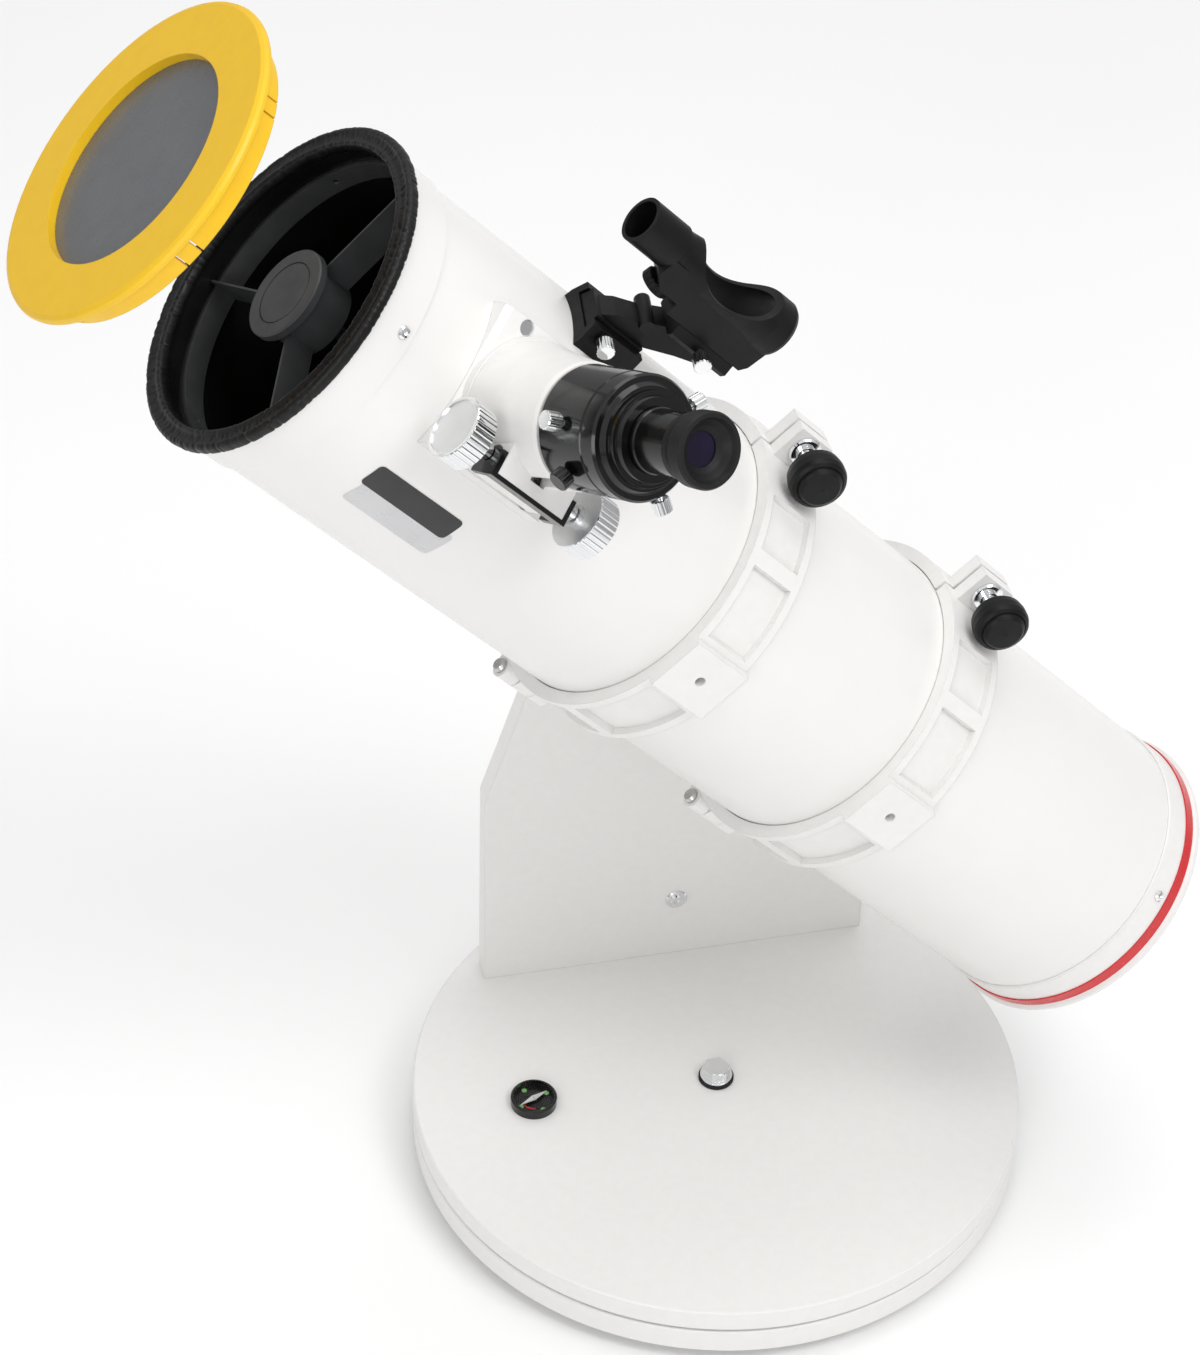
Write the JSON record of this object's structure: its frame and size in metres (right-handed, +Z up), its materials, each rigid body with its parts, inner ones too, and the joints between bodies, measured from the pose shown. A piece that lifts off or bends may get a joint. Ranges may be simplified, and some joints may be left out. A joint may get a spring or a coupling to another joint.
{
  "type": "dobsonian telescope",
  "caption": "Short white Newtonian reflector tube in two hinged rings on a one-armed round rocker base, with rack focuser, red-dot sight and solar filter cap.",
  "frame": {"origin": "on the azimuth turning axis, at the surface the three feet rest on", "axes": "+Z up along the azimuth axis, +Y towards the side board, the tube's sky end leans towards -X; stored at 46 degrees altitude"},
  "size_m": [0.6985, 0.4245, 0.8606],
  "materials": {
    "white_laminate": "white melamine-faced board, satin",
    "foot_rubber": "moulded rubber",
    "ptfe": "bearing plastic",
    "zinc_steel": "zinc-plated steel",
    "chrome": "polished chrome plate",
    "black_gloss_plastic": "gloss black plastic",
    "needle_white": "painted needle",
    "clear": "clear plastic",
    "black_plastic": "matt black plastic",
    "black_paint": "matt black paint",
    "black_anodised": "black anodised",
    "white_paint": "gloss white enamel",
    "ring_paint": "white powder coat on cast aluminium",
    "trim_rubber": "ribbed rubber-like trim",
    "mirror_glass": "aluminised glass",
    "red_stripe": "red band",
    "cap_yellow": "yellow plastic",
    "filter_film": "grey filter film",
    "eyepiece_black": "black rubber and enamel",
    "sight_glass": "coated window"
  },
  "bodies": {
    "ground": {"ground_board": "white_laminate", "feet": "foot_rubber", "glide_pads": "ptfe", "azimuth_bolt": "zinc_steel"},
    "turntable": {"turntable_board": "white_laminate", "side_board": "white_laminate", "brace_board": "white_laminate", "board_bolts": "zinc_steel", "compass_housing": "black_gloss_plastic", "compass_glass": "clear", "altitude_bush": "black_plastic"},
    "needle": {"compass_needle": "needle_white"},
    "saddle": {"saddle_plate": "black_anodised", "altitude_shaft": "zinc_steel"},
    "saddle_knob": {"saddle_knob": "black_plastic"},
    "altitude_knob": {"altitude_knob": "black_plastic"},
    "tube": {"dovetail_bar": "black_anodised", "ring_front_fixed": "ring_paint", "ring_rear_fixed": "ring_paint", "ring_hinge_pins": "zinc_steel", "main_tube": "white_paint", "front_ring": "white_paint", "rim_trim": "trim_rubber", "spider": "black_paint", "secondary_holder": "black_plastic", "secondary_mirror": "mirror_glass", "tube_screws": "chrome", "rear_ring": "ring_paint", "red_band": "red_stripe", "mirror_cell": "black_anodised", "primary_mirror": "mirror_glass", "focuser_base": "ring_paint", "focuser_body": "ring_paint", "pinion_cover": "black_anodised", "finder_shoe": "black_plastic"},
    "ring_front": {"ring_front_swing": "ring_paint"},
    "ring_rear": {"ring_rear_swing": "ring_paint"},
    "clamp_front": {"ring_knob_front": "black_plastic"},
    "clamp_rear": {"ring_knob_rear": "black_plastic"},
    "collimation_1": {"collimation_knob_1": "black_plastic"},
    "collimation_2": {"collimation_knob_2": "black_plastic"},
    "collimation_3": {"collimation_knob_3": "black_plastic"},
    "pinion": {"pinion_shaft": "zinc_steel", "focus_knobs": "chrome"},
    "drawtube": {"drawtube": "chrome", "holder_ring": "black_anodised"},
    "holder_screw": {"holder_screw": "chrome"},
    "lock_screw": {"lock_screw": "black_plastic"},
    "adapter": {"adapter": "black_anodised"},
    "adapter_screw_1": {"adapter_screw_1": "zinc_steel"},
    "adapter_screw_2": {"adapter_screw_2": "zinc_steel"},
    "eyepiece": {"eyepiece": "eyepiece_black"},
    "finder_stalk": {"finder_bracket": "black_plastic"},
    "finder_screw_1": {"finder_screw_1": "chrome"},
    "finder_screw_2": {"finder_screw_2": "chrome"},
    "sight": {"finder_body": "black_plastic", "finder_window": "sight_glass"},
    "finder_switch": {"finder_switch": "black_plastic"},
    "cap": {"solar_cap": "cap_yellow", "solar_film": "filter_film"}
  },
  "joints": [
    {"name": "azimuth", "type": "hinge", "parent": "ground", "child": "turntable", "pos_m": [0, 0, 0.045], "axis": [0, 0, 1], "continuous": true},
    {"name": "compass_spin", "type": "hinge", "parent": "turntable", "child": "needle", "pos_m": [-0.121, 0.002, 0.049], "axis": [0, 0, 1], "continuous": true},
    {"name": "altitude", "type": "hinge", "parent": "turntable", "child": "saddle", "pos_m": [0, 0.118, 0.43], "axis": [0, 1, 0], "range_deg": [-46, 44]},
    {"name": "tube_slide", "type": "slide", "parent": "saddle", "child": "tube", "axis": [-0.6947, 0, 0.7193], "range_m": [-0.03, 0.03]},
    {"name": "saddle_clamp", "type": "hinge", "parent": "saddle", "child": "saddle_knob", "pos_m": [-0.01655, 0.1, 0.41402], "axis": [-0.7193, 0, -0.6947], "range_deg": [0, 720]},
    {"name": "altitude_tension", "type": "hinge", "parent": "saddle", "child": "altitude_knob", "pos_m": [0, 0.15, 0.43], "axis": [0, 1, 0], "range_deg": [-360, 0]},
    {"name": "ring_front_open", "type": "hinge", "parent": "tube", "child": "ring_front", "pos_m": [-0.1353, -0.012, 0.41751], "axis": [-0.6947, 0, 0.7193], "range_deg": [-75, 0]},
    {"name": "clamp_front_turn", "type": "hinge", "parent": "ring_front", "child": "clamp_front", "pos_m": [0.0208, -0.037, 0.56825], "axis": [0, -1, 0], "range_deg": [0, 1080]},
    {"name": "ring_rear_open", "type": "hinge", "parent": "tube", "child": "ring_rear", "pos_m": [-0.0172, -0.012, 0.29522], "axis": [-0.6947, 0, 0.7193], "range_deg": [-75, 0]},
    {"name": "clamp_rear_turn", "type": "hinge", "parent": "ring_rear", "child": "clamp_rear", "pos_m": [0.13889, -0.037, 0.44596], "axis": [0, -1, 0], "range_deg": [0, 1080]},
    {"name": "collimation_1_turn", "type": "hinge", "parent": "tube", "child": "collimation_1", "pos_m": [0.2562, 0.018, 0.2395], "axis": [-0.6947, 0, 0.7193], "range_deg": [-360, 360]},
    {"name": "collimation_2_turn", "type": "hinge", "parent": "tube", "child": "collimation_2", "pos_m": [0.18144, 0.018, 0.16731], "axis": [-0.6947, 0, 0.7193], "range_deg": [-360, 360]},
    {"name": "collimation_3_turn", "type": "hinge", "parent": "tube", "child": "collimation_3", "pos_m": [0.21882, -0.072, 0.20341], "axis": [-0.6947, 0, 0.7193], "range_deg": [-360, 360]},
    {"name": "focus_travel", "type": "slide", "parent": "tube", "child": "drawtube", "axis": [0.4126, -0.8192, 0.3984], "range_m": [0, 0.035]},
    {"name": "focus_turn", "type": "hinge", "parent": "tube", "child": "pinion", "pos_m": [-0.16256, -0.13126, 0.65809], "axis": [-0.6947, 0, 0.7193], "range_deg": [-500, 0]},
    {"name": "holder_screw_turn", "type": "hinge", "parent": "drawtube", "child": "holder_screw", "pos_m": [-0.12228, -0.15126, 0.69699], "axis": [-0.8648, -0.2149, 0.4538], "range_deg": [0, 720]},
    {"name": "lock_screw_turn", "type": "hinge", "parent": "drawtube", "child": "lock_screw", "pos_m": [-0.12228, -0.15126, 0.69699], "axis": [-0.8066, -0.5318, -0.2581], "range_deg": [0, 720]},
    {"name": "adapter_lift", "type": "slide", "parent": "drawtube", "child": "adapter", "axis": [0.4126, -0.8192, 0.3984], "range_m": [0, 0.03]},
    {"name": "adapter_screw_1_turn", "type": "hinge", "parent": "adapter", "child": "adapter_screw_1", "pos_m": [-0.11345, -0.16879, 0.70552], "axis": [0.2617, -0.3124, -0.9132], "range_deg": [0, 720]},
    {"name": "adapter_screw_2_turn", "type": "hinge", "parent": "adapter", "child": "adapter_screw_2", "pos_m": [-0.11345, -0.16879, 0.70552], "axis": [0.877, 0.4755, 0.0695], "range_deg": [0, 720]},
    {"name": "eyepiece_lift", "type": "slide", "parent": "adapter", "child": "eyepiece", "axis": [0.4126, -0.8192, 0.3984], "range_m": [0, 0.03]},
    {"name": "finder_foot", "type": "slide", "parent": "tube", "child": "finder_stalk", "axis": [-0.6947, 0, 0.7193], "range_m": [0, 0.03]},
    {"name": "finder_screw_1_turn", "type": "hinge", "parent": "tube", "child": "finder_screw_1", "pos_m": [-0.10183, -0.04091, 0.67642], "axis": [-0.1001, -0.9903, -0.0967], "range_deg": [0, 720]},
    {"name": "finder_screw_2_turn", "type": "hinge", "parent": "finder_stalk", "child": "finder_screw_2", "pos_m": [-0.04925, -0.04467, 0.66047], "axis": [-0.1001, -0.9903, -0.0967], "range_deg": [0, 720]},
    {"name": "sight_slide", "type": "slide", "parent": "finder_stalk", "child": "sight", "axis": [-0.6947, 0, 0.7193], "range_m": [-0.008, 0.008]},
    {"name": "sight_switch", "type": "hinge", "parent": "sight", "child": "finder_switch", "pos_m": [-0.07163, -0.03107, 0.69947], "axis": [-0.7123, 0.1392, -0.6879], "range_deg": [0, 300]},
    {"name": "cap_fit", "type": "slide", "parent": "tube", "child": "cap", "axis": [0.6251, 0, -0.7805], "range_m": [0, 0.1026]}
  ],
  "couplings": [
    {"joint": "focus_turn", "follows": "focus_travel", "rad_per_m": -238.1}
  ]
}
